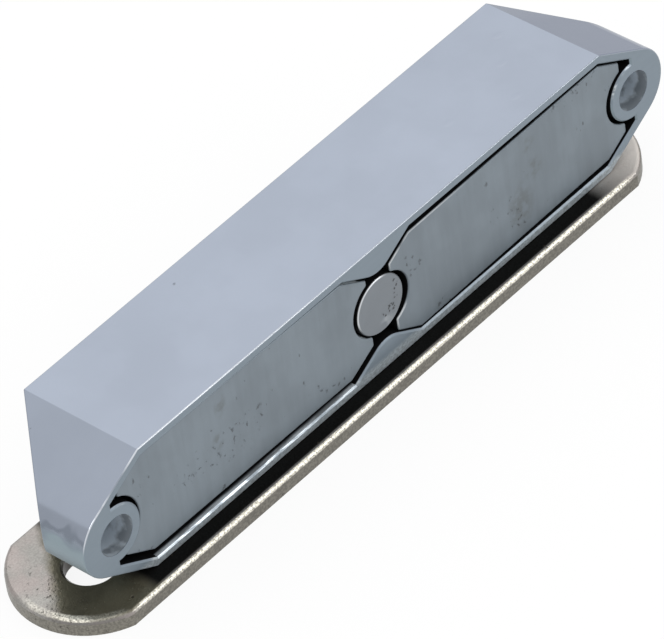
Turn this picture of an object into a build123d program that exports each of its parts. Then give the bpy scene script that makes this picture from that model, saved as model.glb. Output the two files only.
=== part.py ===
"""Heavy magnetic catch: a plated die-cast housing with two floating pole plates, and its strike plate.

X runs along the catch, the pole face looks towards -Y and Z is up. The housing stands on one long
side upon the strike plate, whose underside is Z = 0. Depths count from the housing's front rim
towards its back. Every size is in millimetres.
"""
from build123d import *
import os
from math import cos, radians, sin, sqrt, tan

# Housing
face_width = 17.05           # across the pole face
housing_depth = 16.35        # pole face to back face
screw_spacing = 85.7         # between the two screw holes
screw_hole_radius = 2.45     # clears a 4.5 mm screw
lug_radius = 5.0             # round ends of the pole face
side_angle = radians(29.5)   # slant of the sides that run into the lugs, and of the web flanks
lug_tip_thickness = 5.95     # what the rear bevel leaves at the tip of a lug
rim_wall = 1.1               # wall round the pockets
boss_radius = 3.75           # round wall about each screw hole
notch_reach = 0.05           # how far the pocket runs past the centre of the screw hole
web_apex = 4.3               # middle of the face to the point where the flanks of a web would meet
web_tip_radius = 3.4
notch_depth = 7.0            # floor of the pocket beside a boss
back_wall = 2.0
cavity_end_wall = 0.7        # wall between the deep cavity and a boss
edge_radius = 0.2            # break of the housing's outer edges
pocket_edge_chamfer = 0.2

# Pole plates: 1 is the right-hand one and -1 the left-hand one; they are cut by hand and differ a little
pole_clearance = 0.55        # to the long sides and the webs, in the middle of its pocket
pole_recess = 0.27           # plate front below the rim
pole_thickness = 2.0
pole_corner_radius = 0.3
pole_edge_radius = 0.22
pole_slant_clearance = {1: 0.3, -1: 0.5}    # to the slanted sides
pole_tilt = {1: 0.8, -1: 0.55}              # degrees, outer end up
pole_rest = {1: -0.28, -1: 0.33}            # height at rest, off the middle of its pocket
inner_horn_x = {1: 2.15, -1: 1.75}          # blunt horns beside the centre post
horn_end_setback = {1: 1.55, -1: 1.25}      # blunt horns beside a boss, short of the screw hole's centre
post_hollow_radius = {1: 3.7, -1: 4.0}
post_hollow_gap = {1: 0.85, -1: 0.6}        # between the post and the bottom of the hollow round it
boss_hollow_radius = {1: 4.0, -1: 4.27}
boss_hollow_gap = {1: 0.5, -1: 0.2}
boss_hollow_rise = {1: 0.25, -1: 0.0}       # height of the hollow's centre above the middle of the pocket

# Centre post
post_head_radius = 3.75
post_head_thickness = 3.0
post_head_chamfer = 0.15
post_recess = 0.35           # post head below the rim
post_neck_radius = 3.0
post_tail_radius = 2.0
post_upset_radius = 3.0      # end spread into the countersink in the back wall
post_upset_depth = 1.1
post_hole_clearance = 0.05

# Yoke and magnets
yoke_thickness = 2.5
yoke_clearance = 0.3
magnet_side_clearance = 0.6  # between a magnet and the long walls
magnet_end_clearance = 0.5   # between a magnet and the webs or the cavity's end
magnet_edge_chamfer = 0.4

# Strike plate
strike_length = 96.3
strike_width = 17.9
strike_thickness = 2.0
strike_end_fullness = 0.65   # end radius beyond half the width, so the sides meet it at a kink
strike_edge_radius = 0.58    # rolled upper edge
strike_hole_spacing = 78.8
strike_hole_radius = 2.95
strike_hole_offset = -0.33   # along Y, off the plate's mid-line
strike_hole_edge = 0.3       # chamfer
strike_shift = -2.45         # along X, how it lies under the housing
strike_proud = 2.37          # its front edge stands out past the pole face

# Places worked out from the sizes
half_face = face_width / 2
lug_x = screw_spacing / 2
tip_x = lug_x + lug_radius
front_y = -housing_depth / 2
back_y = housing_depth / 2
middle_z = strike_thickness + half_face
pocket_half = half_face - rim_wall
deep_half_length = lug_x - boss_radius - cavity_end_wall
cavity_depth = housing_depth - back_wall
yoke_front = cavity_depth - yoke_thickness
pole_back = pole_recess + pole_thickness


def at_depth(depth):
    """Plane parallel to the pole face, looking out of it, at a depth behind the rim."""
    return Plane((0, front_y + depth, middle_z), x_dir=(1, 0, 0), z_dir=(0, -1, 0))


def side_tangent(end_radius):
    """Where a slanted side touches the round end about the screw hole."""
    return lug_x + end_radius * sin(side_angle), end_radius * cos(side_angle)


def side_corner_x(half_width, end_radius):
    """Where a slanted side meets the long side."""
    tangent_x, tangent_y = side_tangent(end_radius)
    return tangent_x - (half_width - tangent_y) / tan(side_angle)


def face_outline(half_width, end_radius):
    """Long sides, slanted at both ends into round lugs."""
    tangent_x, tangent_y = side_tangent(end_radius)
    corner_x = side_corner_x(half_width, end_radius)
    end_x = lug_x + end_radius
    sides = [
        Polyline((-tangent_x, s * tangent_y), (-corner_x, s * half_width),
                 (corner_x, s * half_width), (tangent_x, s * tangent_y))
        for s in (1, -1)
    ]
    ends = [
        ThreePointArc((s * tangent_x, tangent_y), (s * end_x, 0), (s * tangent_x, -tangent_y))
        for s in (1, -1)
    ]
    return make_face(sides + ends)


def upper_wedge(inset=0.0):
    """Shallow wedge between the upper corners of the pockets, grown by inset."""
    apex_y = web_apex - inset / cos(side_angle)
    base_x = (half_face - apex_y) / tan(side_angle)
    return make_face(Polyline((-base_x, half_face), (0, apex_y), (base_x, half_face), close=True))


def both_ways_up(sketch):
    """A sketch with its mirror image below the long axis."""
    return sketch + mirror(sketch, about=Plane.XZ)


def webs():
    """Both webs between the pockets, with their blunt tips."""
    wedge = upper_wedge()
    tip = wedge.vertices().sort_by(Axis.Y)[0]
    return both_ways_up(fillet(tip, web_tip_radius))


def round_pair(radius, spacing):
    """Two circles on the long axis, one near each end."""
    return Pos(spacing / 2, 0) * Circle(radius) + Pos(-spacing / 2, 0) * Circle(radius)


def strip(x_low, x_high):
    """Full-height band of the pole face between two places along X."""
    return Pos((x_low + x_high) / 2, 0) * Rectangle(x_high - x_low, face_width)


def pocket_outline():
    """Opening of the housing: both pockets, joined between the tips of the webs."""
    reach = lug_x + notch_reach
    opening = face_outline(pocket_half, lug_radius - rim_wall) & strip(-reach, reach)
    return opening - round_pair(boss_radius, screw_spacing) - webs()


def pole_outline(side):
    """A pole plate laid out to the right and tilted in its pocket: slanted corners, hollow ends."""
    slant_radius = lug_radius - rim_wall - pole_slant_clearance[side]
    horn_low, horn_high = inner_horn_x[side], lug_x - horn_end_setback[side]
    plate = face_outline(pocket_half - pole_clearance, slant_radius) & strip(horn_low, horn_high)
    plate -= both_ways_up(upper_wedge(pole_clearance))
    middle_x = (horn_low + horn_high) / 2
    plate = Pos(middle_x, 0) * Rot(0, 0, pole_tilt[side]) * Pos(-middle_x, 0) * plate
    post_hollow_x = post_head_radius + post_hollow_gap[side] - post_hollow_radius[side]
    boss_hollow_x = lug_x - boss_radius - boss_hollow_gap[side] + boss_hollow_radius[side]
    plate -= Pos(post_hollow_x, 0) * Circle(post_hollow_radius[side])
    plate -= Pos(boss_hollow_x, boss_hollow_rise[side]) * Circle(boss_hollow_radius[side])
    return fillet(plate.vertices(), pole_corner_radius)


def rear_bevel():
    """Wedge that the bevel takes off the back of the right-hand end."""
    corner_x = side_corner_x(half_face, lug_radius)
    slope = (housing_depth - lug_tip_thickness) / (tip_x - corner_x)
    past = 5.0
    low_y = front_y + lug_tip_thickness
    profile = make_face(Polyline(
        (corner_x - past / slope, back_y + past), (tip_x + past, back_y + past),
        (tip_x + past, low_y - past * slope), close=True))
    return extrude(profile, face_width, both=True).moved(Location((0, 0, middle_z)))


def make_housing():
    body = extrude(at_depth(0) * face_outline(half_face, lug_radius), -housing_depth)
    bevel = rear_bevel()
    body -= bevel + mirror(bevel, about=Plane.YZ)
    body = fillet(body.edges(), edge_radius)
    opening = pocket_outline()
    deep = opening & strip(-deep_half_length, deep_half_length)
    body -= extrude(at_depth(0) * opening, -notch_depth)
    body -= extrude(at_depth(0) * deep, -cavity_depth)
    pocket_edge = body.faces().sort_by(Axis.Y)[0].inner_wires().edges()
    body = chamfer(pocket_edge, pocket_edge_chamfer)
    holes = round_pair(screw_hole_radius, screw_spacing)
    body -= extrude(at_depth(0) * holes, -housing_depth)
    return body - make_post(post_hole_clearance)


def make_post(grow=0.0):
    """Turned post: head in the pole face, tail through the yoke and spread in the back wall."""
    wall_front = cavity_depth if grow else yoke_front
    back = housing_depth
    profile = make_face(Polyline(
        (0, post_recess), (post_head_radius - post_head_chamfer, post_recess),
        (post_head_radius, post_recess + post_head_chamfer),
        (post_head_radius, post_recess + post_head_thickness),
        (post_neck_radius, post_recess + post_head_thickness), (post_neck_radius, wall_front),
        (post_tail_radius + grow, wall_front), (post_tail_radius + grow, back - post_upset_depth),
        (post_upset_radius + grow, back), (0, back), close=True))
    return Location((0, front_y, middle_z)) * revolve(profile, Axis.Y)


def make_yoke():
    """Steel bar on the cavity floor, notched for the webs, that joins the two magnets."""
    reach = deep_half_length - yoke_clearance
    half_width = pocket_half - yoke_clearance
    bar = Rectangle(2 * reach, 2 * half_width) - both_ways_up(upper_wedge(yoke_clearance))
    bar -= Circle(post_tail_radius + post_hole_clearance)
    return extrude(at_depth(yoke_front) * bar, -yoke_thickness)


def make_magnet(side):
    """Ceramic block between the yoke and a pole plate."""
    web_base_x = (pocket_half - web_apex) / tan(side_angle)
    inner_x = web_base_x + magnet_end_clearance
    outer_x = deep_half_length - magnet_end_clearance
    width = 2 * (pocket_half - magnet_side_clearance)
    block = Pos(side * (inner_x + outer_x) / 2, 0) * Rectangle(outer_x - inner_x, width)
    magnet = extrude(at_depth(pole_back) * block, pole_back - yoke_front)
    return chamfer(magnet.edges().filter_by(Axis.Y), magnet_edge_chamfer)


def make_pole_plate(side):
    """Pole plate at rest: the left one lies up towards its wall, the right one down."""
    outline = pole_outline(side)
    if side < 0:
        outline = mirror(outline, about=Plane.YZ)
    plate = extrude(at_depth(pole_recess) * outline, -pole_thickness)
    plate = fillet(plate.faces().sort_by(Axis.Y)[0].edges(), pole_edge_radius)
    return Pos(0, 0, pole_rest[side]) * plate


def make_strike():
    """Flat plate with broad round ends, a rolled upper edge and a hole near each end."""
    half_width = strike_width / 2
    half_length = strike_length / 2
    end_radius = half_width + strike_end_fullness
    kink_x = half_length - end_radius + sqrt(end_radius**2 - half_width**2)
    sides = [Line((-kink_x, s * half_width), (kink_x, s * half_width)) for s in (1, -1)]
    ends = [
        ThreePointArc((s * kink_x, half_width), (s * half_length, 0), (s * kink_x, -half_width))
        for s in (1, -1)
    ]
    plate = extrude(make_face(sides + ends), strike_thickness)
    plate = fillet(plate.faces().sort_by(Axis.Z)[-1].edges(), strike_edge_radius)
    holes = Pos(0, strike_hole_offset) * round_pair(strike_hole_radius, strike_hole_spacing)
    plate -= extrude(holes, strike_thickness)
    hole_edges = plate.faces().sort_by(Axis.Z)[-1].inner_wires().edges()
    plate = chamfer(hole_edges, strike_hole_edge)
    return Pos(strike_shift, front_y - strike_proud + half_width, 0) * plate


parts = {
    "housing": make_housing(),
    "center_post": make_post(),
    "yoke_plate": make_yoke(),
    "magnet_left": make_magnet(-1),
    "magnet_right": make_magnet(1),
    "pole_plate_left": make_pole_plate(-1),
    "pole_plate_right": make_pole_plate(1),
    "strike_plate": make_strike(),
}

os.makedirs("parts", exist_ok=True)
for name, solid in parts.items():
    export_step(solid, f"parts/{name}.step")
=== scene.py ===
"""Heavy magnetic catch on its strike plate: metal finishes, light and camera on the CAD frame.

The CAD nodes already have the true shape of every part, so this file gives each of them its metal.
Sizes are in millimetres in the row frame, unless a name says otherwise: X runs along the catch, the
pole face looks towards -Y and Z is up. Each pattern reads Object coordinates, so it stays on its part.
"""
import math

import bmesh
import bpy
from bpy.props import FloatProperty, FloatVectorProperty, PointerProperty
from mathutils import Matrix, Vector


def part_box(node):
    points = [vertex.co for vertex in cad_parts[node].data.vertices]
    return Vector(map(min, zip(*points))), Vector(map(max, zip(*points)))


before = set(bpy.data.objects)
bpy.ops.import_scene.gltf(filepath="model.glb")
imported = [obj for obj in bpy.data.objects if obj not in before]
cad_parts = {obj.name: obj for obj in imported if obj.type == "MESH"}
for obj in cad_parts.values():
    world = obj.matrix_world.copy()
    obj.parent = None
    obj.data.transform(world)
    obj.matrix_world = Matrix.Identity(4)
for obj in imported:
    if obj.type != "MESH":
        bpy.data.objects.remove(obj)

bl_info = {
    "name": "Magnetic catch finishes",
    "version": (1, 0, 0),
    "blender": (4, 5, 0),
    "location": "View3D > Sidebar > Catch",
    "description": "Gives a heavy magnetic catch and its strike plate their metals, light and camera",
    "category": "Object",
}

MM = 0.001


# Places taken from the frame

def box_mm(node):
    """Lowest and highest corner of a CAD node, in millimetres."""
    low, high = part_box(node)
    return low / MM, high / MM


HOUSING_LOW, HOUSING_HIGH = box_mm("housing")
STRIKE_LOW, STRIKE_HIGH = box_mm("strike_plate")
POST_LOW, POST_HIGH = box_mm("center_post")
PLATE_FACE_Y = box_mm("pole_plate_right")[0].y
FACE_Y = HOUSING_LOW.y
MIDDLE_Z = (HOUSING_LOW.z + HOUSING_HIGH.z) / 2
HALF_FACE = (HOUSING_HIGH.z - HOUSING_LOW.z) / 2

HOLE_INSET = 5.0                 # from the housing's end to the axis of its screw hole
CORNER_INSET = 9.92              # from its end to where the sides turn in towards the lug
END_ANGLE = math.radians(29.5)   # by which they turn in
LUG_X = HOUSING_HIGH.x - HOLE_INSET
CORNER_X = HOUSING_HIGH.x - CORNER_INSET

STRIKE_MIDDLE_Y = (STRIKE_LOW.y + STRIKE_HIGH.y) / 2
HOLE_MIDDLE = Vector((-2.45, -1.925, 0.0))  # halfway between the strike's screw holes
HOLE_REACH = 39.4                # from there to the axis of each
HOLE_EDGE = 3.3                  # radius just outside the edge of a hole in the strike
END_RADIUS = 9.6                 # curve of each end of the strike
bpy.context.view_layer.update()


def colour(red, green, blue):
    """Linear colour from its 0 to 255 display values."""
    def linear(value):
        value /= 255
        return value / 12.92 if value <= 0.04045 else ((value + 0.055) / 1.055) ** 2.4
    return linear(red), linear(green), linear(blue)


def colour_prop(name, description, display):
    """Colour setting whose default is given in display values."""
    return FloatVectorProperty(
        name=name, description=description, default=colour(*display),
        subtype="COLOR", size=3, min=0.0, max=1.0)


def share_prop(name, description, default):
    """Setting that runs from 0 to 1."""
    return FloatProperty(
        name=name, description=description, default=default,
        subtype="FACTOR", min=0.0, max=1.0)


# Material building

class Finish:
    """One metal: a shader and the small patterns that feed it, in millimetres on the part."""

    def __init__(self, name, metallic=1.0):
        self.material = bpy.data.materials.new(name)
        self.material.use_nodes = True
        self.tree = self.material.node_tree
        self.shader = self.tree.nodes["Principled BSDF"]
        self.shader.inputs["Metallic"].default_value = metallic
        self.coords = self.tree.nodes.new("ShaderNodeTexCoord")
        self.place = self.mapped((1 / MM, 1 / MM, 1 / MM))
        self.x, self.y, self.z = self.split(self.place)
        self.facing = self.coords.outputs["Normal"]
        self.bumped = None

    def node(self, kind, **settings):
        """A new node of a kind, with its settings."""
        made = self.tree.nodes.new(kind)
        for key, value in settings.items():
            setattr(made, key, value)
        return made

    def feed(self, socket, value):
        """Gives a socket a constant or another node's output."""
        if isinstance(value, bpy.types.NodeSocket):
            self.tree.links.new(value, socket)
        elif isinstance(value, (tuple, list)) and len(value) == 3 and socket.type == "RGBA":
            socket.default_value = (*value, 1.0)
        else:
            socket.default_value = value

    def mapped(self, scale, shift=(0.0, 0.0, 0.0)):
        """Object coordinates, scaled and moved."""
        made = self.node("ShaderNodeMapping")
        self.feed(made.inputs["Vector"], self.coords.outputs["Object"])
        self.feed(made.inputs["Scale"], scale)
        self.feed(made.inputs["Location"], shift)
        return made.outputs["Vector"]

    def split(self, vector):
        """The X, Y and Z of a vector."""
        made = self.node("ShaderNodeSeparateXYZ")
        self.feed(made.inputs[0], vector)
        return made.outputs

    def math(self, operation, *values):
        """One operation on one or more values."""
        made = self.node("ShaderNodeMath", operation=operation)
        for socket, value in zip(made.inputs, values):
            self.feed(socket, value)
        return made.outputs[0]

    def product(self, *values):
        """1 only where every value is 1."""
        result = values[0]
        for value in values[1:]:
            result = self.math("MULTIPLY", result, value)
        return result

    def rising(self, value, low, high):
        """0 below low and 1 above high, or the other way round when low is above high."""
        made = self.node("ShaderNodeMapRange", interpolation_type="SMOOTHSTEP")
        self.feed(made.inputs["Value"], value)
        if low < high:
            limits = (low, high, 0.0, 1.0)
        else:
            limits = (high, low, 1.0, 0.0)
        for socket, limit in zip(("From Min", "From Max", "To Min", "To Max"), limits):
            self.feed(made.inputs[socket], limit)
        return made.outputs["Result"]

    def spread(self, value, low, high):
        """A 0 to 1 value laid out between low and high."""
        made = self.node("ShaderNodeMapRange")
        self.feed(made.inputs["Value"], value)
        self.feed(made.inputs["To Min"], low)
        self.feed(made.inputs["To Max"], high)
        return made.outputs["Result"]

    def noise(self, size, detail=2.0, rough=0.5, stretch=(1.0, 1.0, 1.0), shift=0.0):
        """Soft pattern whose patches are about size across, longer where stretch is above 1."""
        scale = tuple(1 / (MM * size * s) for s in stretch)
        made = self.node("ShaderNodeTexNoise")
        self.feed(made.inputs["Vector"], self.mapped(scale, (shift, shift * 1.7, shift * 2.3)))
        self.feed(made.inputs["Scale"], 1.0)
        self.feed(made.inputs["Detail"], detail)
        self.feed(made.inputs["Roughness"], rough)
        return made.outputs["Fac"]

    def specks(self, spacing, size, share, shift=0.0):
        """Scattered small spots: 1 inside a spot. Share is how many places hold one."""
        scale = (1 / (MM * spacing),) * 3
        cells = self.node("ShaderNodeTexVoronoi")
        warp = self.noise(size * 1.6, detail=2.0, shift=shift + 3.1)
        where = self.node("ShaderNodeVectorMath", operation="ADD")
        self.feed(where.inputs[0], self.mapped(scale, (shift, shift * 1.3, shift * 0.7)))
        self.feed(where.inputs[1], self.product(warp, size / spacing * 1.4))
        self.feed(cells.inputs["Vector"], where.outputs[0])
        self.feed(cells.inputs["Scale"], 1.0)
        radius = size / spacing
        spot = self.rising(cells.outputs["Distance"], radius, radius * 0.55)
        chosen = self.math("LESS_THAN", self.split(cells.outputs["Color"])[0], share)
        return self.product(spot, chosen)

    def patch(self, centre, reach):
        """Soft round or oval spot: 1 at its centre and 0 beyond its reach along each axis."""
        offset = self.node("ShaderNodeVectorMath", operation="SUBTRACT")
        self.feed(offset.inputs[0], self.place)
        self.feed(offset.inputs[1], centre)
        scaled = self.node("ShaderNodeVectorMath", operation="DIVIDE")
        self.feed(scaled.inputs[0], offset.outputs[0])
        self.feed(scaled.inputs[1], reach)
        length = self.node("ShaderNodeVectorMath", operation="LENGTH")
        self.feed(length.inputs[0], scaled.outputs[0])
        return self.rising(length.outputs["Value"], 1.0, 0.25)

    def spots(self, y, *places, through=2.0):
        """One soft spot for each place, which gives its x, its z and its reach along both."""
        return [self.patch((x, y, z), (across, through, high)) for x, z, across, high in places]

    def blend(self, amount, first, second):
        """The first colour where the amount is 0 and the second where it is 1."""
        made = self.node("ShaderNodeMix", data_type="RGBA")
        self.feed(made.inputs[0], amount)
        self.feed(made.inputs[6], first)
        self.feed(made.inputs[7], second)
        return made.outputs[2]

    def shaded(self, base, factor):
        """A colour made lighter or darker by a factor."""
        made = self.node("ShaderNodeVectorMath", operation="SCALE")
        self.feed(made.inputs[0], base)
        self.feed(made.inputs["Scale"], factor)
        return made.outputs[0]

    def bump(self, height, depth, strength=1.0):
        """Adds relief of a depth in millimetres to what the surface has so far."""
        made = self.node("ShaderNodeBump")
        self.feed(made.inputs["Height"], height)
        self.feed(made.inputs["Distance"], depth * MM)
        self.feed(made.inputs["Strength"], strength)
        if self.bumped is not None:
            self.feed(made.inputs["Normal"], self.bumped)
        self.bumped = made.outputs["Normal"]

    def largest(self, *values):
        """1 where any of the values is 1."""
        result = values[0]
        for value in values[1:]:
            result = self.math("MAXIMUM", result, value)
        return result

    def rest_of(self, value):
        """1 where the value is 0, and the other way round."""
        return self.math("SUBTRACT", 1.0, value)

    def front_edge(self):
        """1 along the rounded edge between the pole face and a side wall, 0 on flat faces."""
        out = self.math("MULTIPLY", self.split(self.facing)[1], -1.0)
        return self.product(self.rising(out, 0.08, 0.4), self.rising(out, 0.99, 0.8))

    def from_axis(self, along, across):
        """Distance from an axis, given the distances from it in two directions."""
        return self.math("SQRT", self.math(
            "ADD", self.product(along, along), self.product(across, across)))

    def gloss(self, roughness, *places):
        """A roughness that each place raises by its own step."""
        for place, more in places:
            roughness = self.math("ADD", roughness, self.product(place, more))
        return roughness

    def finish(self, base, roughness):
        """Joins the colour, the roughness and the relief to the shader."""
        self.feed(self.shader.inputs["Base Color"], base)
        self.feed(self.shader.inputs["Roughness"], roughness)
        if self.bumped is not None:
            self.feed(self.shader.inputs["Normal"], self.bumped)
        return self.material


def dress(node, material):
    """Puts a metal on every slot of a CAD node."""
    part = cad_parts[node]
    for slot in part.material_slots:
        slot.material = material
    if not part.material_slots:
        part.data.materials.append(material)


# Housing

PAINTED_END_SHADE = colour(112, 122, 142)        # painted blue shade on the right-hand end
END_PAINTED_SHEEN = colour(150, 168, 172)        # painted sheen on the foot of the left-hand end
END_PAINTED_REFLECTION = colour(96, 104, 114)          # painted dark reflection line above it
FOOT_GRIT = colour(176, 186, 192)
# painted highlight along the upper front edge
PAINTED_EDGE_HIGHLIGHT = colour(222, 226, 232)
# painted glints on the edges of the pockets
PAINTED_GLINT = colour(188, 196, 200)
# painted light on the lower ledge of the left-hand pocket
PAINTED_LEDGE_LIGHT = colour(214, 223, 230)
CASTING_PIT = colour(84, 88, 96)
LEDGE_LEFT = -38.9                       # ends of the lower wall of the left-hand pocket
LEDGE_RIGHT = -4.4
BORE_RADIUS = 2.9                        # just outside the edge of a screw hole
DENTS = ((31.0, 0.0), (20.0, -1.6), (34.4, 3.4), (27.6, -4.9))  # x and y on the upper side


class HousingSettings(bpy.types.PropertyGroup):
    plating: colour_prop("Plating", "Satin plating on the die casting", (140, 147, 159))
    # The rim colour is partly a ground finish and partly painted shade on faces that look down or
    # sideways.
    face: colour_prop("Pole face rim", "Ground front rim and ends of the casting", (125, 137, 147))
    # The pocket colour is painted shade on the walls deep inside the pockets.
    pocket: colour_prop("Painted_pocket_shade", "Dark casting inside the pockets", (14, 14, 15))
    bore: colour_prop("Screw holes", "Bare cast metal in the screw holes", (192, 202, 211))
    roughness: share_prop("Roughness", "Gloss of the plating", 0.17)
    pit_depth: FloatProperty(
        name="Pit depth", description="Depth of the casting pits, in millimetres",
        default=0.05, min=0.0, max=0.5)


class HousingPlaces:
    """Places on the housing: each is 1 on its own surfaces and 0 on the others."""

    def __init__(self, metal):
        self.side, back, self.up = metal.split(metal.facing)
        out = metal.math("MULTIPLY", back, -1.0)
        self.depth = metal.math("SUBTRACT", metal.y, FACE_Y)
        self.not_rear = metal.rising(back, 0.3, 0.1)
        self.from_hole = metal.from_axis(
            metal.math("SUBTRACT", metal.math("ABSOLUTE", metal.x), LUG_X),
            metal.math("SUBTRACT", metal.z, MIDDLE_Z))
        self.pockets = metal.product(self.pocket_zone(metal), self.not_rear)

        at_front = metal.rising(self.depth, 0.35, 0.1)
        self.rim = metal.product(metal.rising(out, 0.55, 0.95), at_front)
        self.edge = metal.product(metal.front_edge(), at_front)
        self.brink = metal.product(self.edge, self.pockets)
        self.streaks = metal.noise(0.45, detail=3.0, stretch=(7.0, 1.0, 1.0), shift=2.0)
        self.glint = metal.product(self.brink, self.glints(metal), metal.rising(self.streaks, 0.36, 0.6))
        # Faces that look down or sideways take the darker rim colour as painted shade.
        low = metal.product(metal.rising(self.up, 0.5, 0.2), metal.rising(back, 0.5, 0.2))
        self.dull = metal.largest(self.rim, low, metal.product(self.brink, metal.rest_of(self.glint)))
        self.inside_pockets(metal)
        self.bore = metal.product(
            metal.rising(self.from_hole, BORE_RADIUS, BORE_RADIUS - 0.2),
            metal.rising(self.depth, 0.02, 0.06), metal.rising(self.depth, 4.6, 3.4), self.not_rear)

    def inside_pockets(self, metal):
        """Sets the painted light on the lower ledge, and the painted shade on everything else in the
        pockets.
        """
        pocket = metal.product(self.pockets, metal.rising(self.depth, 0.02, 0.1))
        ledge = metal.product(pocket, metal.rising(self.up, 0.9, 0.97), self.left_ledge(metal))
        # Painted light on the ledge near the face, with scored streaks.
        self.painted_lit_ledge = metal.product(ledge, metal.rising(self.depth, 0.85, 0.5))
        seat = metal.product(
            metal.rising(metal.x, -2.8, -3.4), metal.rising(metal.z, MIDDLE_Z + 5.0, MIDDLE_Z + 5.6),
            metal.rising(self.depth, 1.0, 0.6))
        # Painted shade on the pocket walls, apart from the ledge and the seat.
        self.dark = metal.product(
            pocket, metal.rising(self.depth, 0.16, 0.26), metal.rest_of(metal.largest(self.painted_lit_ledge, seat)))

    def glints(self, metal):
        """1 where a painted glint goes on the edge of a pocket: the long left ledge and parts of the
        bosses.
        """
        right_low, right_high, left_high = metal.spots(
            FACE_Y, (39.8, 12.7, 1.3, 1.4), (42.0, 14.1, 1.1, 0.7), (-41.6, 14.0, 2.4, 1.2))
        return metal.largest(
            metal.product(metal.rising(self.up, 0.3, 0.5), self.left_ledge(metal)),
            right_low, right_high, metal.product(left_high, 0.25))

    def left_ledge(self, metal):
        """1 along the lower wall of the left-hand pocket, from the slanted end to the web."""
        return metal.product(
            metal.rising(metal.x, LEDGE_RIGHT, LEDGE_RIGHT - 1.2),
            metal.rising(metal.x, LEDGE_LEFT, LEDGE_LEFT + 0.7),
            metal.rising(metal.z, MIDDLE_Z - 2.0, MIDDLE_Z - 4.0))

    def pocket_zone(self, metal):
        """1 on the pocket walls and their edges, 0 on the outer walls and the screw holes."""
        along = metal.math("ABSOLUTE", metal.x)
        above = metal.math("ABSOLUTE", metal.math("SUBTRACT", metal.z, MIDDLE_Z))
        slant = metal.math("MAXIMUM", metal.math("SUBTRACT", along, CORNER_X), 0.0)
        wall = metal.math("SUBTRACT", HALF_FACE, metal.product(slant, math.tan(END_ANGLE)))
        return metal.product(
            metal.rising(self.from_hole, 3.0, 3.2),
            metal.rising(along, LUG_X + 0.6, LUG_X + 0.45),
            metal.rising(metal.math("SUBTRACT", wall, above), 0.5, 0.8))


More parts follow.
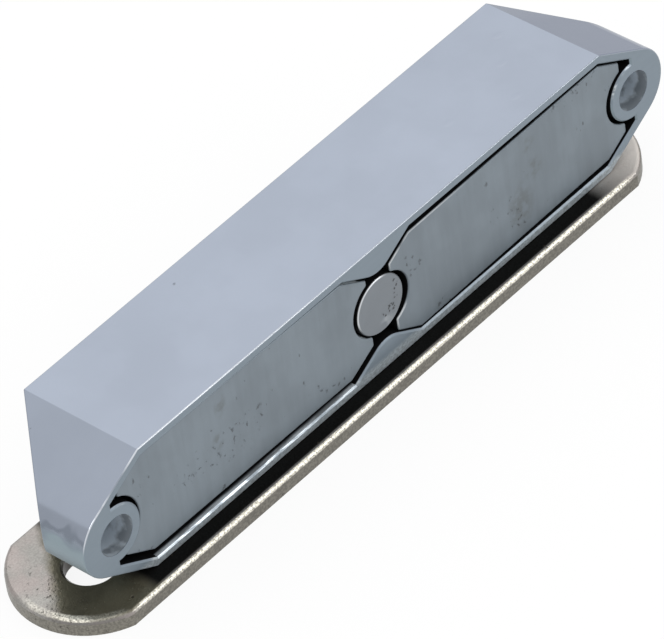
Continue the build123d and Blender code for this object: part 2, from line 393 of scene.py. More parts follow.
class CATCH_OT_housing(bpy.types.Operator):
    """Plate the die-cast housing"""
    bl_idname = "catch.housing"
    bl_label = "Housing"

    def execute(self, context):
        settings = context.scene.catch_housing
        metal = Finish("satin_plated_casting")
        place = HousingPlaces(metal)
        mottle = metal.noise(7.0, detail=3.0, shift=1.0)
        cloud = metal.noise(22.0, detail=2.0, shift=4.0)
        scuffs = metal.noise(0.5, detail=3.0, stretch=(9.0, 1.0, 1.0), shift=7.0)

        base = self.plated(metal, place, settings, mottle, cloud)
        base = self.ground(metal, place, settings, base, scuffs)
        base = self.left_end(metal, place, base)
        base = self.highlighted_edges(metal, place, base, mottle, scuffs)
        base = self.pockets(metal, place, settings, base)
        base = self.screw_holes(metal, place, settings, base)
        base = self.pitted(metal, place, settings, base)

        roughness = metal.math("ADD", settings.roughness, metal.spread(cloud, -0.03, 0.04))
        roughness = metal.gloss(
            roughness, (place.dull, 0.27), (place.bore, 0.3), (place.dark, 0.4), (place.painted_lit_ledge, 0.2))
        metal.feed(metal.shader.inputs["Metallic"], metal.product(
            metal.spread(place.dull, 1.0, 0.45), metal.spread(place.bore, 1.0, 0.2),
            metal.spread(place.dark, 1.0, 0.0), metal.spread(place.painted_lit_ledge, 1.0, 0.3)))
        metal.feed(metal.shader.inputs["Specular IOR Level"], metal.spread(place.dark, 0.5, 0.08))
        dress("housing", metal.finish(base, roughness))
        return {"FINISHED"}

    @staticmethod
    def plated(metal, place, settings, mottle, cloud):
        """Cloudy plating, with painted shade on the right-hand end that grows towards the front."""
        tone = metal.math("ADD", metal.spread(metal.rising(mottle, 0.35, 0.65), 0.98, 1.015),
                          metal.spread(metal.rising(cloud, 0.35, 0.65), -0.03, 0.02))
        plating = metal.shaded(tuple(settings.plating), tone)
        # Painted shade on the right-hand end, strongest towards the front.
        painted_light_end = metal.product(
            metal.rising(place.side, 0.3, 0.45), metal.rising(place.up, 0.3, 0.6),
            metal.spread(metal.rising(metal.y, 8.0, 1.0), 0.5, 1.0))
        return metal.blend(painted_light_end, plating, PAINTED_END_SHADE)

    @staticmethod
    def ground(metal, place, settings, base, scuffs):
        """Scuffed rim of the pole face, gritty at its foot; its darker colour, which also goes on faces
        that look down or sideways, is partly a ground finish and partly painted shade.
        """
        scuffed = metal.shaded(tuple(settings.face), metal.spread(scuffs, 0.95, 1.05))
        base = metal.blend(place.dull, base, scuffed)
        grit = metal.noise(0.24, detail=2.0, stretch=(1.6, 1.0, 1.0), shift=9.0)
        foot = metal.product(
            place.rim, metal.rising(metal.z, HOUSING_LOW.z + 1.9, HOUSING_LOW.z + 1.0))
        gritty = metal.shaded(FOOT_GRIT, metal.spread(metal.rising(grit, 0.3, 0.7), 0.72, 1.12))
        return metal.blend(foot, base, gritty)

    @staticmethod
    def left_end(metal, place, base):
        """Painted sheen on the foot of the left-hand lug, and a painted dark reflection line above it.
        """
        # Painted reflection: a pale sheen low down and a dark wavy line above it.
        end = metal.product(metal.rising(place.side, -0.3, -0.5), place.not_rear)
        ripple = metal.math("ADD", place.up, metal.spread(metal.noise(3.5, shift=3.0), -0.5, 0.5))
        reflection_wave = metal.product(metal.rising(ripple, 0.3, 0.42), metal.rising(ripple, 0.58, 0.46), end)
        painted_sheen = metal.product(metal.rising(ripple, 0.3, 0.1), end, metal.rest_of(place.rim))
        base = metal.blend(metal.product(painted_sheen, 0.4), base, END_PAINTED_SHEEN)
        return metal.blend(metal.product(reflection_wave, 0.45), base, END_PAINTED_REFLECTION)

    @staticmethod
    def highlighted_edges(metal, place, base, mottle, scuffs):
        """Painted highlight along the upper front edge, which fades to the right, and painted glints
        round the pockets.
        """
        faded, gap = metal.spots(FACE_Y, (-41.4, 16.6, 2.8, 3.0), (-44.6, 15.7, 0.8, 0.5))
        # Painted highlight along the upper front edge, fading to the right.
        painted_edge_light = metal.product(
            metal.math("SUBTRACT", place.edge, place.brink), metal.rising(place.up, 0.1, 0.4),
            metal.spread(metal.rising(metal.x, 20.0, -32.0), 0.22, 0.95), metal.spread(mottle, 0.4, 1.2),
            metal.spread(faded, 1.0, 0.1), metal.rest_of(gap))
        base = metal.blend(painted_edge_light, base, PAINTED_EDGE_HIGHLIGHT)
        patchy = metal.spread(metal.rising(scuffs, 0.38, 0.62), 0.55, 1.0)
        return metal.blend(place.glint, base, metal.shaded(PAINTED_GLINT, patchy))

    @staticmethod
    def pockets(metal, place, settings, base):
        """Painted light with scored streaks on the ledge, and painted shade on the pocket walls."""
        scored = metal.spread(metal.rising(place.streaks, 0.4, 0.62), 0.42, 1.0)
        base = metal.blend(place.painted_lit_ledge, base, metal.shaded(PAINTED_LEDGE_LIGHT, scored))
        return metal.blend(place.dark, base, tuple(settings.pocket))

    @staticmethod
    def screw_holes(metal, place, settings, base):
        """Rough cast wall with painted light that grows deeper in, so it is darker near the face."""
        cast = metal.noise(1.6, detail=3.0, shift=6.0)
        lit = metal.math("ADD", metal.rising(place.depth, 1.1, 1.9),
                         metal.spread(metal.rising(cast, 0.25, 0.75), -0.7, 0.8))
        return metal.blend(
            place.bore, base, metal.shaded(tuple(settings.bore), metal.spread(lit, 0.42, 1.05)))

    @staticmethod
    def pitted(metal, place, settings, base):
        """Dark pits, and the relief of the whole casting."""
        pits = metal.largest(
            metal.specks(5.5, 0.16, 0.30, shift=0.4), metal.specks(13.0, 0.30, 0.28, shift=8.0),
            metal.patch((-16.6, 5.9, HOUSING_HIGH.z), (0.28, 0.2, 0.2)))
        dents = metal.largest(*(
            metal.patch((x, y, HOUSING_HIGH.z), (0.9, 0.55, 1.0)) for x, y in DENTS))
        metal.bump(place.streaks, 0.04, metal.product(place.painted_lit_ledge, 0.8))
        metal.bump(metal.noise(2.6, detail=2.0, shift=5.0), 0.006)
        metal.bump(metal.product(dents, -1.0), settings.pit_depth, 0.9)
        metal.bump(metal.product(pits, -1.0), settings.pit_depth, 0.8)
        return metal.blend(metal.product(pits, 0.45), base, CASTING_PIT)


# Pole plates

PLATE_MARK = colour(56, 58, 60)
# painted highlight on the front edges of the plates
PLATE_EDGE_HIGHLIGHT = colour(222, 226, 228)
LIT_SEATED_WALL = colour(205, 213, 218)      # painted light on the upper slant of the left-hand plate, close to the web
# painted shade on the side walls of the plates
SHADED_PLATE_WALL = colour(16, 16, 17)


class PoleSettings(bpy.types.PropertyGroup):
    plating: colour_prop("Plating", "Dull plating on the ground steel plates", (121, 131, 139))
    stain: colour_prop("Stain", "Dull stain on the right-hand plate", (104, 108, 108))
    roughness: share_prop("Roughness", "Gloss of the plating", 0.42)
    pit_depth: FloatProperty(
        name="Pit depth", description="Depth of the pits, in millimetres",
        default=0.06, min=0.0, max=0.5)


class CATCH_OT_pole_plates(bpy.types.Operator):
    """Finish the two floating pole plates"""
    bl_idname = "catch.pole_plates"
    bl_label = "Pole plates"

    def execute(self, context):
        settings = context.scene.catch_poles
        metal = Finish("dull_plated_steel")
        streaks = metal.noise(0.9, detail=3.0, stretch=(1.0, 1.0, 7.0), shift=12.0)
        base = self.plated(metal, settings, streaks)
        smudge = self.smudges(metal)
        base = metal.blend(metal.product(smudge, 0.5), base, tuple(settings.stain))
        marks = self.marks(metal, streaks)
        base = metal.blend(metal.product(marks, 0.55), base, PLATE_MARK)
        # Painted highlight on parts of the front edges.
        edge_highlight = self.highlighted_edge(metal, streaks)
        base = metal.blend(edge_highlight, base, PLATE_EDGE_HIGHLIGHT)

        # Painted shade on the side walls, and painted light on the upper slant near the web.
        up = metal.split(metal.facing)[2]
        seated = metal.product(metal.rising(up, 0.2, 0.5), metal.rising(metal.x, -2.5, -3.1))
        wall = metal.rising(metal.math("SUBTRACT", metal.y, PLATE_FACE_Y), 0.12, 0.26)
        dark = metal.product(wall, metal.rest_of(seated))
        base = metal.blend(metal.product(wall, seated), base, LIT_SEATED_WALL)
        base = metal.blend(dark, base, SHADED_PLATE_WALL)

        grind = metal.noise(0.35, detail=2.0, stretch=(14.0, 1.0, 1.0), shift=13.0)
        metal.bump(grind, 0.0025)
        metal.bump(metal.noise(1.6, detail=2.0, shift=16.0), 0.004)
        metal.bump(metal.product(marks, -1.0), settings.pit_depth, 0.8)
        roughness = metal.math("ADD", settings.roughness, metal.spread(streaks, -0.05, 0.07))
        roughness = metal.gloss(roughness, (metal.largest(smudge, dark), 0.15))
        metal.feed(metal.shader.inputs["Metallic"], metal.product(
            metal.spread(edge_highlight, 0.45, 0.2), metal.spread(wall, 1.0, 0.1)))
        metal.feed(metal.shader.inputs["Specular IOR Level"], metal.spread(dark, 0.5, 0.08))
        material = metal.finish(base, roughness)
        for node in ("pole_plate_left", "pole_plate_right"):
            dress(node, material)
        return {"FINISHED"}

    @staticmethod
    def plated(metal, settings, streaks):
        """Cloudy plating with upright streaks."""
        cloud = metal.noise(8.0, detail=3.0, shift=11.0)
        tone = metal.math("ADD", metal.spread(metal.rising(cloud, 0.35, 0.65), 0.93, 1.06),
                          metal.spread(metal.rising(streaks, 0.3, 0.7), -0.05, 0.03))
        return metal.shaded(tuple(settings.plating), tone)

    @staticmethod
    def smudges(metal):
        """1 on the dull stains: three on the right-hand plate and two on the left-hand one."""
        painted_light_and_shade = metal.largest(*metal.spots(
            PLATE_FACE_Y, (23.3, 7.6, 3.0, 4.2), (25.9, 11.2, 1.8, 2.2), (25.5, 15.0, 1.3, 1.4),
            (-26.4, 11.0, 1.2, 1.6), (-25.4, 15.4, 1.2, 1.9)))
        return metal.product(painted_light_and_shade, metal.rising(metal.noise(1.1, detail=4.0, shift=2.2), 0.35, 0.65))

    @staticmethod
    def marks(metal, streaks):
        """1 on the pits, which crowd together in places, and on a few larger chips."""
        crowd = metal.largest(
            metal.rising(metal.noise(6.0, detail=1.0, shift=15.0), 0.6, 0.75),
            *metal.spots(PLATE_FACE_Y, (32.8, 17.0, 6.0, 1.8), (-26.0, 9.8, 10.0, 3.4)))
        flecks = metal.noise(0.6, detail=3.0, rough=0.6, stretch=(1.0, 1.0, 1.3), shift=17.0)
        pits = metal.product(metal.rising(flecks, 0.62, 0.68), metal.rising(crowd, 0.08, 0.4))
        rubs = metal.noise(0.9, detail=3.0, rough=0.6, stretch=(1.0, 1.0, 1.6), shift=18.0)
        chips = metal.product(metal.rising(rubs, 0.69, 0.73), metal.rising(streaks, 0.42, 0.5))
        return metal.largest(pits, chips)

    @staticmethod
    def highlighted_edge(metal, streaks):
        """1 where a painted highlight goes on the front edge of a plate."""
        low, high, top, left = metal.spots(
            PLATE_FACE_Y, (2.8, 6.8, 2.6, 1.9), (2.6, 15.4, 2.2, 1.8), (7.0, 17.0, 10.0, 1.4),
            (-3.9, 5.3, 2.8, 1.8))
        bright = metal.largest(low, high, metal.product(top, 0.6), left)
        return metal.product(metal.front_edge(), bright, metal.spread(streaks, 0.4, 1.0))


# Centre post

# painted highlight on the chamfer ring of the head
POST_RIM_HIGHLIGHT = colour(226, 229, 232)
POST_SCUFF = colour(196, 202, 206)
POST_PIT = colour(44, 44, 44)
# painted shade on the side wall behind the head
POST_WALL_SHADE = colour(22, 22, 23)
TURNING_STEP = 0.22                      # from one ring of the lathe tool to the next
HEAD_RADIUS = POST_HIGH.x
DARK_LENGTH = 8.0                        # of the post behind its head, where the housing hides it and painted shade darkens it


class PostSettings(bpy.types.PropertyGroup):
    steel: colour_prop("Steel", "Turned steel of the post", (122, 128, 134))
    roughness: share_prop("Roughness", "Gloss of the turned face", 0.36)


class CATCH_OT_center_post(bpy.types.Operator):
    """Finish the turned post between the pole plates"""
    bl_idname = "catch.center_post"
    bl_label = "Centre post"

    def execute(self, context):
        settings = context.scene.catch_post
        metal = Finish("turned_post_steel")
        up = metal.math("SUBTRACT", metal.z, MIDDLE_Z)
        radius = metal.math("SQRT", metal.math(
            "ADD", metal.math("POWER", metal.math("ABSOLUTE", metal.x), 2.0),
            metal.math("POWER", metal.math("ABSOLUTE", up), 2.0)))
        cloud = metal.noise(3.0, detail=3.0, shift=21.0)
        base = metal.shaded(tuple(settings.steel), metal.spread(cloud, 0.9, 1.1))

        on_head = metal.rising(metal.y, POST_LOW.y + 0.12, POST_LOW.y + 0.05)
        shoulder = metal.rising(metal.math("SUBTRACT", up, metal.x), 1.5, 3.5)
        # Painted highlight on the upper left of the head's chamfer ring.
        bright = metal.product(
            metal.rising(radius, HEAD_RADIUS - 0.3, HEAD_RADIUS - 0.16), on_head, shoulder)
        base = metal.blend(metal.product(bright, metal.spread(cloud, 0.5, 1.0)), base, POST_RIM_HIGHLIGHT)
        scuff = metal.spots(POST_LOW.y, (0.9, 7.7, 1.9, 1.0), through=1.0)[0]
        scuff = metal.product(scuff, metal.rising(cloud, 0.4, 0.6))
        base = metal.blend(metal.product(scuff, 0.6), base, POST_SCUFF)

        pitted = metal.largest(*metal.spots(
            POST_LOW.y, (2.4, 11.4, 0.8, 2.2), (1.3, 8.9, 1.5, 0.9), through=1.0))
        pits = metal.product(metal.specks(0.5, 0.19, 0.85, shift=2.7), metal.rising(pitted, 0.1, 0.35))
        marks = metal.largest(pits, metal.specks(2.2, 0.12, 0.5, shift=9.9))
        base = metal.blend(metal.product(marks, 0.8), base, POST_PIT)
        # Painted shade on the post's side wall behind its head.
        tail = POST_LOW.y + DARK_LENGTH
        wall = metal.product(metal.rest_of(on_head), metal.rising(metal.y, tail, tail - 2.0))
        base = metal.blend(wall, base, POST_WALL_SHADE)

        metal.bump(metal.math("SINE", metal.product(radius, math.tau / TURNING_STEP)), 0.0008)
        metal.bump(cloud, 0.006)
        metal.bump(metal.product(marks, -1.0), 0.07, 0.9)
        roughness = metal.math("ADD", settings.roughness, metal.spread(cloud, -0.04, 0.08))
        metal.feed(metal.shader.inputs["Metallic"], metal.product(
            metal.spread(bright, 0.5, 1.0), metal.rest_of(wall)))
        metal.feed(metal.shader.inputs["Specular IOR Level"], metal.spread(wall, 0.5, 0.1))
        dress("center_post", metal.finish(base, roughness))
        return {"FINISHED"}


# Yoke and magnets

YOKE_RUST = colour(96, 78, 62)
MAGNET_CHIP = colour(92, 92, 95)


class InnerSettings(bpy.types.PropertyGroup):
    yoke: colour_prop("Yoke", "Mild steel of the yoke plate", (102, 105, 110))
    magnet: colour_prop("Magnet", "Pressed ceramic of the magnets", (46, 46, 49))


class CATCH_OT_inner_parts(bpy.types.Operator):
    """Finish the steel yoke and the two ceramic magnets"""
    bl_idname = "catch.inner_parts"
    bl_label = "Yoke and magnets"

    def execute(self, context):
        settings = context.scene.catch_inner
        steel = Finish("rolled_yoke_steel")
        scale = steel.noise(4.0, detail=4.0, shift=31.0)
        grain = steel.noise(0.4, detail=2.0, stretch=(12.0, 1.0, 1.0), shift=32.0)
        base = steel.shaded(tuple(settings.yoke), steel.spread(scale, 0.8, 1.15))
        rust = steel.product(steel.rising(scale, 0.56, 0.72), 0.5)
        base = steel.blend(rust, base, YOKE_RUST)
        steel.bump(grain, 0.005)
        dress("yoke_plate", steel.finish(base, steel.spread(scale, 0.36, 0.6)))

        ceramic = Finish("pressed_ceramic", metallic=0.1)
        powder = ceramic.noise(0.5, detail=4.0, shift=41.0)
        patches = ceramic.noise(6.0, detail=2.0, shift=42.0)
        base = ceramic.shaded(tuple(settings.magnet), ceramic.spread(patches, 0.75, 1.25))
        chips = ceramic.specks(3.0, 0.3, 0.3, shift=4.4)
        base = ceramic.blend(ceramic.product(chips, 0.6), base, MAGNET_CHIP)
        ceramic.bump(powder, 0.02)
        ceramic.bump(ceramic.product(chips, -1.0), 0.1)
        material = ceramic.finish(base, ceramic.spread(powder, 0.62, 0.86))
        for node in ("magnet_left", "magnet_right"):
            dress(node, material)
        return {"FINISHED"}


# Strike plate

ROSE_NICKEL = colour(168, 150, 148)
# painted shade on the side walls of the strike
SHADED_STRIKE_EDGE = colour(116, 113, 105)
HOLE_WALL = colour(58, 54, 46)
# painted light on the right-hand end of the strike
LIT_END_NICKEL = colour(190, 184, 178)
# painted highlight on the near rounded edges of the strike
STRIKE_PAINTED_HIGHLIGHT = colour(240, 236, 222)
# painted shade on the far rounded edge of the strike
FAR_EDGE_SHADE = colour(96, 90, 82)
RUST_SPECK = colour(62, 58, 52)


class StrikeSettings(bpy.types.PropertyGroup):
    nickel: colour_prop("Nickel", "Warm nickel on the strike plate", (146, 144, 140))
    # Olive painted reflection and shadow of the housing round the left-hand hole.
    painted_reflection: colour_prop("Painted_reflection", "Olive tarnish round the left-hand hole", (104, 100, 84))
    # Black painted shadow on the strike at the foot of the housing.
    painted_shadow: colour_prop("Painted_shadow", "Black grime at the foot of the housing", (11, 11, 10))
    roughness: share_prop("Roughness", "Gloss of the nickel", 0.22)
    grain_depth: FloatProperty(
        name="Grain depth", description="Depth of the rolled grain, in millimetres",
        default=0.02, min=0.0, max=0.2)


class StrikePlaces:
    """Places on the strike plate: each is 1 on its own surfaces and 0 on the others."""

    def __init__(self, metal):
        side, back, up = metal.split(metal.facing)
        self.on_top = metal.product(metal.rising(up, 0.6, 0.9), metal.rising(metal.z, 0.5, 1.0))
        # Side walls, which take painted shade.
        self.upright = metal.rising(up, 0.3, 0.1)
        # Right-hand end, which takes painted light that grows to the right.
        self.painted_light_end = metal.product(metal.rising(metal.x, 33.5, 37.0), self.on_top)
        # Strip at the foot of the housing, which takes a painted shadow.
        self.foot = metal.product(
            self.on_top, metal.rising(metal.y, STRIKE_LOW.y + 0.42, STRIKE_LOW.y + 0.75),
            metal.rising(metal.x, -41.6, -39.4), metal.rising(metal.x, 36.0, 33.4))
        # Painted reflection and shadow of the housing round the left-hand hole.
        self.painted_reflection_zone = self.housing_reflection(metal)
        self.bored = metal.product(self.near_hole(metal), metal.rest_of(self.on_top))
        # Painted highlight along the near rounded edges, painted shade on the far one.
        roll = metal.product(metal.rising(up, 0.99, 0.9), metal.rising(up, 0.12, 0.4))
        front = metal.product(
            roll, metal.rising(back, -0.2, -0.4),
            metal.rising(metal.x, -44.9, -42.0), metal.rising(metal.x, 39.5, 37.0))
        self.painted_highlight = metal.largest(front, self.highlighted_end(metal, up))
        self.shaded_far_roll = metal.product(roll, metal.rising(side, 0.3, 0.6))

    @staticmethod
    def highlighted_end(metal, up):
        """1 where a painted highlight goes along the rounded edge of the left-hand end, brightest at its
        near corner.
        """
        reach = metal.from_axis(
            metal.math("SUBTRACT", metal.x, STRIKE_LOW.x + END_RADIUS),
            metal.math("SUBTRACT", metal.y, STRIKE_MIDDLE_Y))
        band = metal.product(
            metal.rising(reach, END_RADIUS - 1.15, END_RADIUS - 0.8),
            metal.rising(reach, END_RADIUS - 0.1, END_RADIUS - 0.3),
            metal.rising(metal.x, -44.0, -46.0), metal.rising(up, 0.1, 0.4))
        corner = metal.patch((-48.9, -5.8, STRIKE_HIGH.z), (2.6, 4.2, 2.0))
        return metal.product(band, metal.largest(corner, 0.35), metal.rising(metal.y, 1.0, -1.5))

    @staticmethod
    def housing_reflection(metal):
        """1 where the painted reflection and shadow of the housing lie: round the left-hand hole, up to
        a slanting line across the end of the plate.
        """
        along = metal.product(metal.math("ADD", metal.x, 49.3), 0.768)
        across = metal.product(metal.math("ADD", metal.y, 4.5), 0.64)
        reflection_wave = metal.spread(metal.noise(1.5, detail=2.0, shift=57.0), -0.8, 0.8)
        past = metal.math("ADD", metal.math("SUBTRACT", along, across), reflection_wave)
        return metal.product(metal.rising(past, -1.2, 0.5), metal.rising(metal.x, -38.0, -40.5))

    @staticmethod
    def near_hole(metal):
        """1 within reach of a screw hole's wall."""
        sideways = metal.math("ABSOLUTE", metal.math("SUBTRACT", metal.x, HOLE_MIDDLE.x))
        radius = metal.from_axis(
            metal.math("SUBTRACT", sideways, HOLE_REACH),
            metal.math("SUBTRACT", metal.y, HOLE_MIDDLE.y))
        return metal.rising(radius, HOLE_EDGE + 0.3, HOLE_EDGE)


class CATCH_OT_strike_plate(bpy.types.Operator):
    """Finish the nickel-plated strike plate"""
    bl_idname = "catch.strike_plate"
    bl_label = "Strike plate"

    def execute(self, context):
        settings = context.scene.catch_strike
        metal = Finish("grained_nickel")
        place = StrikePlaces(metal)
        cloud = metal.noise(5.0, detail=3.0, shift=51.0)
        grain = metal.noise(0.24, detail=3.0, shift=52.0)
        coarse = metal.noise(0.42, detail=2.0, shift=53.0)
        gritty = metal.rising(grain, 0.34, 0.66)

        base = self.plated(metal, settings, cloud, gritty)
        base = self.edges(metal, place, base, gritty)
        base = self.painted_light_and_shade(metal, place, settings, base, cloud, gritty)
        base = self.painted_edge_light(metal, place, base, gritty)
        marks = self.marks(metal)
        base = metal.blend(metal.product(marks, 0.75), base, RUST_SPECK)

        metal.bump(grain, settings.grain_depth)
        metal.bump(coarse, settings.grain_depth * 1.2)
        metal.bump(metal.noise(2.2, detail=1.0, shift=56.0), 0.01)
        metal.bump(metal.product(marks, -1.0), 0.05, 0.8)
        roughness = metal.math("ADD", settings.roughness, metal.spread(coarse, -0.06, 0.1))
        roughness = metal.gloss(
            roughness, (place.foot, 0.3), (place.painted_highlight, 0.1), (place.upright, 0.15),
            (place.painted_light_end, 0.25))
        metal.feed(metal.shader.inputs["Metallic"], metal.product(
            metal.spread(place.foot, 1.0, 0.0),
            metal.spread(metal.product(place.painted_reflection_zone, place.on_top), 1.0, 0.6),
            metal.spread(place.painted_light_end, 1.0, 0.3), metal.spread(place.bored, 1.0, 0.3),
            metal.spread(place.upright, 1.0, 0.7)))
        metal.feed(metal.shader.inputs["Specular IOR Level"], metal.spread(place.foot, 0.5, 0.06))
        dress("strike_plate", metal.finish(base, roughness))
        return {"FINISHED"}

    @staticmethod
    def plated(metal, settings, cloud, gritty):
        """Grained nickel with a rose tint in patches, and painted shade at the left-hand tip."""
        tone = metal.math("ADD", metal.spread(metal.rising(cloud, 0.3, 0.7), 0.88, 1.06),
                          metal.spread(gritty, -0.09, 0.09))
        base = metal.shaded(tuple(settings.nickel), tone)
        rose = metal.rising(metal.noise(3.5, detail=2.0, shift=54.0), 0.35, 0.7)
        base = metal.blend(metal.product(rose, 0.3), base, ROSE_NICKEL)
        shaded_tip = metal.product(metal.rising(metal.x, -44.0, -47.0), metal.rising(metal.y, -1.0, -5.0))
        return metal.blend(shaded_tip, base, metal.shaded(base, 0.72))

    @staticmethod
    def edges(metal, place, base, gritty):
        """Gritty sawn edge, painted darker than the top as shade and painted lighter towards the
        left-hand end.
        """
        tone = metal.product(
            metal.spread(gritty, 0.78, 1.22),
            metal.spread(metal.rising(metal.x, -40.0, -46.0), 1.0, 1.16))
        return metal.blend(place.upright, base, metal.shaded(SHADED_STRIKE_EDGE, tone))

    @staticmethod
    def painted_light_and_shade(metal, place, settings, base, cloud, gritty):
        """Painted reflection and shadow of the housing round the left-hand hole, painted light on the
        right-hand end and a painted shadow under the housing.
        """
        reflected = metal.shaded(
            tuple(settings.painted_reflection), metal.spread(metal.rising(cloud, 0.35, 0.65), 0.7, 1.15))
        base = metal.blend(metal.product(place.painted_reflection_zone, place.on_top), base, reflected)
        base = metal.blend(place.bored, base, HOLE_WALL)
        end_light = metal.spread(metal.rising(metal.x, 35.0, 43.0), 0.6, 1.35)
        base = metal.blend(place.painted_light_end, base, metal.shaded(LIT_END_NICKEL, end_light))
        painted_shadow = metal.shaded(tuple(settings.painted_shadow), metal.spread(gritty, 0.7, 1.5))
        return metal.blend(place.foot, base, painted_shadow)

    @staticmethod
    def painted_edge_light(metal, place, base, gritty):
        """Painted sparkling highlight along the near rounded edge, and painted shade on the far one."""
        painted_sparkle = metal.shaded(STRIKE_PAINTED_HIGHLIGHT, metal.spread(gritty, 0.42, 1.12))
        base = metal.blend(place.painted_highlight, base, painted_sparkle)
        return metal.blend(metal.product(place.shaded_far_roll, 0.8), base, FAR_EDGE_SHADE)

    @staticmethod
    def marks(metal):
        """1 on the rust specks, which crowd at the left-hand end, and on a few strays."""
        end = metal.rising(metal.x, STRIKE_LOW.x + 7.0, STRIKE_LOW.x + 1.5)
        crowd = metal.largest(
            metal.rising(metal.noise(2.4, detail=2.0, shift=55.0), 0.44, 0.58),
            metal.patch((-47.6, 0.3, STRIKE_HIGH.z), (2.4, 1.8, 2.0)))
        rusted = metal.noise(0.5, detail=3.0, rough=0.65, shift=58.0)
        specks = metal.product(metal.rising(rusted, 0.6, 0.66), end, crowd)
        return metal.largest(specks, metal.specks(2.4, 0.2, 0.35, shift=7.0))


# Floor, lights and camera

FLOOR_RADIUS = 3.0               # metres
FLOOR_DROP = 0.02                # how far the floor lies below the strike plate
FLOOR_GLOW = 0.9                 # share of the floor that looks white to the camera
LENS = 361.4
SENSOR_WIDTH = 36.0
AIM = Vector((-4.36, -4.605, 10.04))  # the point that the camera looks at
LAMPS = (
    # name, way to it from the catch, distance and size in metres, the setting and its share
    ("softbox", (0.50, 0.56, 0.66), 0.9, (0.9, 0.8), "softbox", 1.0),
    ("side_softbox", (-0.42, 0.46, 0.78), 0.9, (0.7, 0.7), "softbox", 0.32),
    ("front_strip", (0.51, -0.667, 0.54), 0.8, (0.8, 0.1), "strip", 1.0),
    ("left_strip", (-0.65, -0.14, 0.70), 0.8, (0.1, 0.3), "strip", 0.4),
)


class StageSettings(bpy.types.PropertyGroup):
    floor: colour_prop("Floor", "Pale floor and background", (252, 252, 252))
    daylight: FloatProperty(
        name="Daylight", description="Strength of the light from all round",
        default=0.8, min=0.0, max=4.0)
    softbox: FloatProperty(
        name="Softbox", description="Power of the large light above and behind",
        default=1.5, min=0.0, max=50.0, unit="POWER")
    strip: FloatProperty(
        name="Strip", description="Power of the narrow light in front",
        default=1.2, min=0.0, max=50.0, unit="POWER")
    azimuth: FloatProperty(
        name="Camera azimuth", description="Direction of the camera round the catch",
        default=math.radians(-43.46), subtype="ANGLE")
    elevation: FloatProperty(
        name="Camera elevation", description="Height of the camera above the horizon",
        default=math.radians(41.87), subtype="ANGLE")
    roll: FloatProperty(
        name="Camera roll", description="Turn of the camera about its view direction",
        default=math.radians(-8.30), subtype="ANGLE")
    distance: FloatProperty(
        name="Camera distance", description="From the camera to the point that it looks at",
        default=0.7173, min=0.1, max=10.0, unit="LENGTH")


def pointing(direction):
    """Turn that looks along a direction, level with the horizon."""
    return direction.to_track_quat("-Z", "Y")


def direction_of(azimuth, elevation):
    """Unit vector from the catch towards a place at an azimuth and elevation, in radians."""
    flat = math.cos(elevation)
    return Vector((math.sin(azimuth) * flat, -math.cos(azimuth) * flat, math.sin(elevation)))


def add_lamp(context, name, away, size, power):
    """Rectangular soft light that faces the middle of the catch."""
    data = bpy.data.lights.new(name, "AREA")
    data.shape = "RECTANGLE"
    data.size, data.size_y = size
    data.energy = power
    lamp = bpy.data.objects.new(name, data)
    lamp.location = away
    lamp.rotation_mode = "QUATERNION"
    lamp.rotation_quaternion = pointing(-away)
    context.scene.collection.objects.link(lamp)


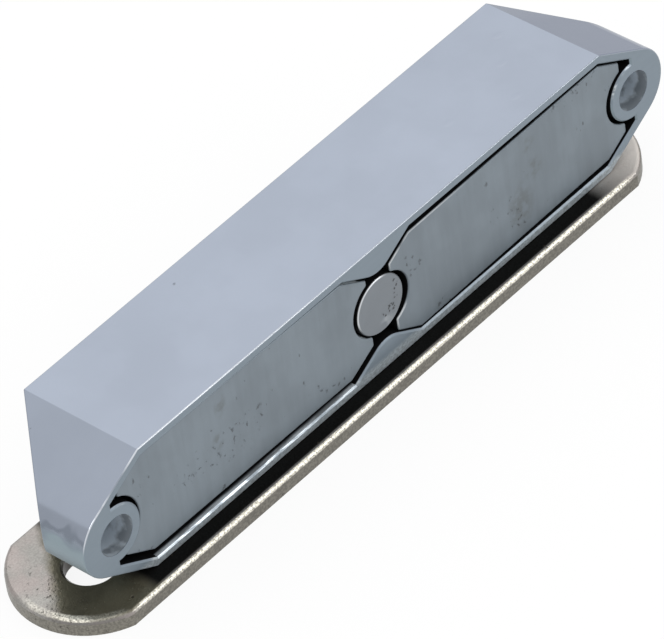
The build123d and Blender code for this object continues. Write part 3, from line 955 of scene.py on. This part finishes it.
class CATCH_OT_stage(bpy.types.Operator):
    """Set the floor, the soft lights and the camera"""
    bl_idname = "catch.stage"
    bl_label = "Stage"

    def execute(self, context):
        settings = context.scene.catch_stage
        self.floor(context, settings)
        self.sky(context, settings)
        for name, way, distance, size, source, share in LAMPS:
            away = Vector(way).normalized() * distance
            add_lamp(context, name, away, size, getattr(settings, source) * share)
        self.camera(context, settings)
        context.scene.view_settings.view_transform = "Standard"
        return {"FINISHED"}

    @staticmethod
    def seen(tree):
        """1 for what the camera sees, in a mirror or glass as well."""
        path = tree.nodes.new("ShaderNodeLightPath")
        total = path.outputs["Is Camera Ray"]
        for ray in ("Is Glossy Ray", "Is Transmission Ray"):
            either = tree.nodes.new("ShaderNodeMath")
            either.operation = "MAXIMUM"
            tree.links.new(total, either.inputs[0])
            tree.links.new(path.outputs[ray], either.inputs[1])
            total = either.outputs[0]
        return total

    def floor(self, context, settings):
        """Wide pale disc that keeps the shadow of the catch."""
        shape = bmesh.new()
        bmesh.ops.create_circle(shape, cap_ends=True, segments=96, radius=FLOOR_RADIUS)
        bmesh.ops.translate(shape, verts=shape.verts, vec=(0.0, 0.0, -FLOOR_DROP * MM))
        mesh = bpy.data.meshes.new("floor")
        shape.to_mesh(mesh)
        shape.free()
        floor = bpy.data.objects.new("floor", mesh)
        context.scene.collection.objects.link(floor)

        material = bpy.data.materials.new("pale_floor")
        material.use_nodes = True
        tree = material.node_tree
        tree.nodes.clear()
        matt = tree.nodes.new("ShaderNodeBsdfDiffuse")
        matt.inputs["Color"].default_value = (*settings.floor, 1.0)
        glow = tree.nodes.new("ShaderNodeEmission")
        glow.inputs["Color"].default_value = (1.0, 1.0, 1.0, 1.0)
        amount = tree.nodes.new("ShaderNodeMath")
        amount.operation = "MULTIPLY"
        amount.inputs[1].default_value = FLOOR_GLOW
        tree.links.new(self.seen(tree), amount.inputs[0])
        mix = tree.nodes.new("ShaderNodeMixShader")
        tree.links.new(amount.outputs[0], mix.inputs[0])
        tree.links.new(matt.outputs[0], mix.inputs[1])
        tree.links.new(glow.outputs[0], mix.inputs[2])
        output = tree.nodes.new("ShaderNodeOutputMaterial")
        tree.links.new(mix.outputs[0], output.inputs["Surface"])
        mesh.materials.append(material)

    def sky(self, context, settings):
        """Even daylight, with a white background behind it."""
        world = bpy.data.worlds.new("studio")
        context.scene.world = world
        world.use_nodes = True
        tree = world.node_tree
        background = tree.nodes["Background"]
        background.inputs["Color"].default_value = (1.0, 1.0, 1.0, 1.0)
        strength = tree.nodes.new("ShaderNodeMapRange")
        tree.links.new(self.seen(tree), strength.inputs["Value"])
        strength.inputs["To Min"].default_value = settings.daylight
        strength.inputs["To Max"].default_value = 1.0
        tree.links.new(strength.outputs["Result"], background.inputs["Strength"])

    @staticmethod
    def camera(context, settings):
        """Long lens, turned a little about its view direction."""
        data = bpy.data.cameras.new("camera")
        data.sensor_width = SENSOR_WIDTH
        data.lens = LENS
        data.clip_start = 0.05
        data.clip_end = 20.0
        camera = bpy.data.objects.new("camera", data)
        context.scene.collection.objects.link(camera)
        away = direction_of(settings.azimuth, settings.elevation)
        turn = pointing(-away).to_matrix().to_4x4() @ Matrix.Rotation(settings.roll, 4, "Z")
        camera.matrix_world = Matrix.Translation(AIM * MM + away * settings.distance) @ turn
        context.scene.camera = camera


# Sidebar

PIECES = (CATCH_OT_housing, CATCH_OT_pole_plates, CATCH_OT_center_post,
          CATCH_OT_inner_parts, CATCH_OT_strike_plate, CATCH_OT_stage)
SETTINGS = {
    "catch_housing": HousingSettings,
    "catch_poles": PoleSettings,
    "catch_post": PostSettings,
    "catch_inner": InnerSettings,
    "catch_strike": StrikeSettings,
    "catch_stage": StageSettings,
}


class CATCH_PT_panel(bpy.types.Panel):
    """Finishes of the catch, one box for each group of parts"""
    bl_idname = "CATCH_PT_panel"
    bl_label = "Magnetic catch"
    bl_space_type = "VIEW_3D"
    bl_region_type = "UI"
    bl_category = "Catch"

    def draw(self, context):
        for operator, name in zip(PIECES, SETTINGS):
            box = self.layout.box()
            settings = getattr(context.scene, name)
            for key in settings.bl_rna.properties.keys():
                if key not in {"rna_type", "name"}:
                    box.prop(settings, key)
            box.operator(operator.bl_idname)


def register():
    for group in SETTINGS.values():
        bpy.utils.register_class(group)
    for name, group in SETTINGS.items():
        setattr(bpy.types.Scene, name, PointerProperty(type=group))
    for operator in PIECES:
        bpy.utils.register_class(operator)
    bpy.utils.register_class(CATCH_PT_panel)


def unregister():
    bpy.utils.unregister_class(CATCH_PT_panel)
    for operator in reversed(PIECES):
        bpy.utils.unregister_class(operator)
    for name, group in SETTINGS.items():
        delattr(bpy.types.Scene, name)
        bpy.utils.unregister_class(group)


def main():
    register()
    bpy.ops.catch.housing()
    bpy.ops.catch.pole_plates()
    bpy.ops.catch.center_post()
    bpy.ops.catch.inner_parts()
    bpy.ops.catch.strike_plate()
    bpy.ops.catch.stage()


if __name__ == "__main__":
    main()
